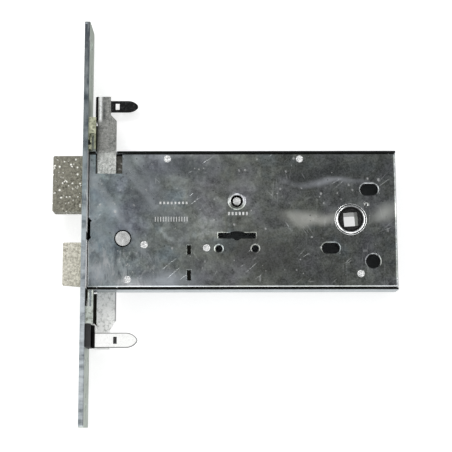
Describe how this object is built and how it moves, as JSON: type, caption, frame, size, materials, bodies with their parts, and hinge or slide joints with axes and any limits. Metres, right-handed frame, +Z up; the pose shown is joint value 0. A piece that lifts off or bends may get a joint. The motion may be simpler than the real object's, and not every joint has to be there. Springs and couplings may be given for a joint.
{
  "type": "mortise lock",
  "caption": "Mortise lock for a security door with a square deadbolt, bevelled spring latch, sprung handle hub, lever pack and two rod slides behind a flat face plate.",
  "frame": {"origin": "centre of the outer face of the face plate, half way between its two fixing screws", "axes": "+Z up along the face plate, +X from the face plate into the door, the case cover faces -Y"},
  "size_m": [0.2025, 0.025, 0.24],
  "materials": {
    "zinc_plate": "brushed zinc plate",
    "case_steel": "zinc plated sheet",
    "cover_steel": "worn bright sheet",
    "bush_steel": "turned",
    "pin_steel": "bright riveted",
    "spring_steel": "drawn wire",
    "bolt_cast": "rough cast, dark",
    "latch_cast": "rough cast, light",
    "slide_steel": "plated, mottled",
    "slide_bright": "bright plated",
    "hub_cast": "cast, worn bright",
    "brass": "turned",
    "pad_black": "moulded, matt",
    "lever_steel": "stamped, dark with grease"
  },
  "bodies": {
    "case": {"face_plate": "zinc_plate", "case_tray": "case_steel", "case_cover": "cover_steel", "upper_guide_bracket": "zinc_plate", "lower_guide_bracket": "zinc_plate", "face_plate_rivets": "pin_steel", "spacer_pillars": "pin_steel", "stop_post": "pin_steel", "lever_post": "pin_steel", "lever_spring_post": "pin_steel", "lever_springs": "spring_steel", "hub_bush_front": "bush_steel", "hub_bush_rear": "bush_steel", "hub_spring_stud": "pin_steel", "hub_spring": "spring_steel", "latch_guide": "case_steel", "lower_guide_pad": "pad_black"},
    "deadbolt": {"deadbolt_head": "bolt_cast", "deadbolt_tail": "slide_steel", "deadbolt_pins": "pin_steel", "cam_studs": "pin_steel", "bolt_stump": "pin_steel"},
    "upper_rod": {"upper_rod_slide": "slide_steel"},
    "lower_rod": {"lower_rod_slide": "slide_bright"},
    "hub": {"handle_hub": "hub_cast"},
    "yoke": {"latch_yoke": "case_steel"},
    "latch": {"latch_head": "latch_cast", "latch_rod": "pin_steel", "latch_cross_pin": "pin_steel", "latch_nut": "brass", "latch_spring": "spring_steel"},
    "lever_1_body": {"lever_1": "lever_steel"},
    "lever_2_body": {"lever_2": "lever_steel"},
    "lever_3_body": {"lever_3": "lever_steel"},
    "lever_4_body": {"lever_4": "lever_steel"}
  },
  "joints": [
    {"name": "deadbolt_throw", "type": "slide", "parent": "case", "child": "deadbolt", "axis": [1, 0, 0], "range_m": [0, 0.016]},
    {"name": "upper_rod_travel", "type": "slide", "parent": "case", "child": "upper_rod", "axis": [0, 0, -1], "range_m": [0, 0.012]},
    {"name": "lower_rod_travel", "type": "slide", "parent": "case", "child": "lower_rod", "axis": [0, 0, 1], "range_m": [0, 0.012]},
    {"name": "yoke_slide", "type": "slide", "parent": "case", "child": "yoke", "axis": [1, 0, 0], "range_m": [0, 0.0097]},
    {"name": "hub_turn", "type": "hinge", "parent": "case", "child": "hub", "pos_m": [0.157, 0, 0], "axis": [0, -1, 0], "range_deg": [0, 25], "stiffness_Nm_per_rad": 0.8, "springref_deg": -8.59, "deforming": ["hub_spring"]},
    {"name": "latch_push", "type": "slide", "parent": "yoke", "child": "latch", "axis": [1, 0, 0], "range_m": [0, 0.01], "stiffness_N_per_m": 300, "springref_m": -0.012, "deforming": ["latch_spring"]},
    {"name": "lever_1_lift", "type": "slide", "parent": "case", "child": "lever_1_body", "axis": [0, 0, 1], "range_m": [-0.0025, 0.0012], "stiffness_N_per_m": 300, "springref_m": 0.0004, "deforming": ["lever_springs"]},
    {"name": "lever_2_lift", "type": "slide", "parent": "case", "child": "lever_2_body", "axis": [0, 0, 1], "range_m": [-0.0025, 0.0012], "stiffness_N_per_m": 300, "springref_m": 0.0004},
    {"name": "lever_3_lift", "type": "slide", "parent": "case", "child": "lever_3_body", "axis": [0, 0, 1], "range_m": [-0.0025, 0.0012], "stiffness_N_per_m": 300, "springref_m": 0.0004},
    {"name": "lever_4_lift", "type": "slide", "parent": "case", "child": "lever_4_body", "axis": [0, 0, 1], "range_m": [-0.0025, 0.0012], "stiffness_N_per_m": 300, "springref_m": 0.0004}
  ],
  "couplings": [
    {"joint": "upper_rod_travel", "follows": "deadbolt_throw", "ratio": 0.75},
    {"joint": "lower_rod_travel", "follows": "deadbolt_throw", "ratio": 0.75},
    {"joint": "hub_turn", "follows": "yoke_slide", "rad_per_m": 44.9}
  ]
}
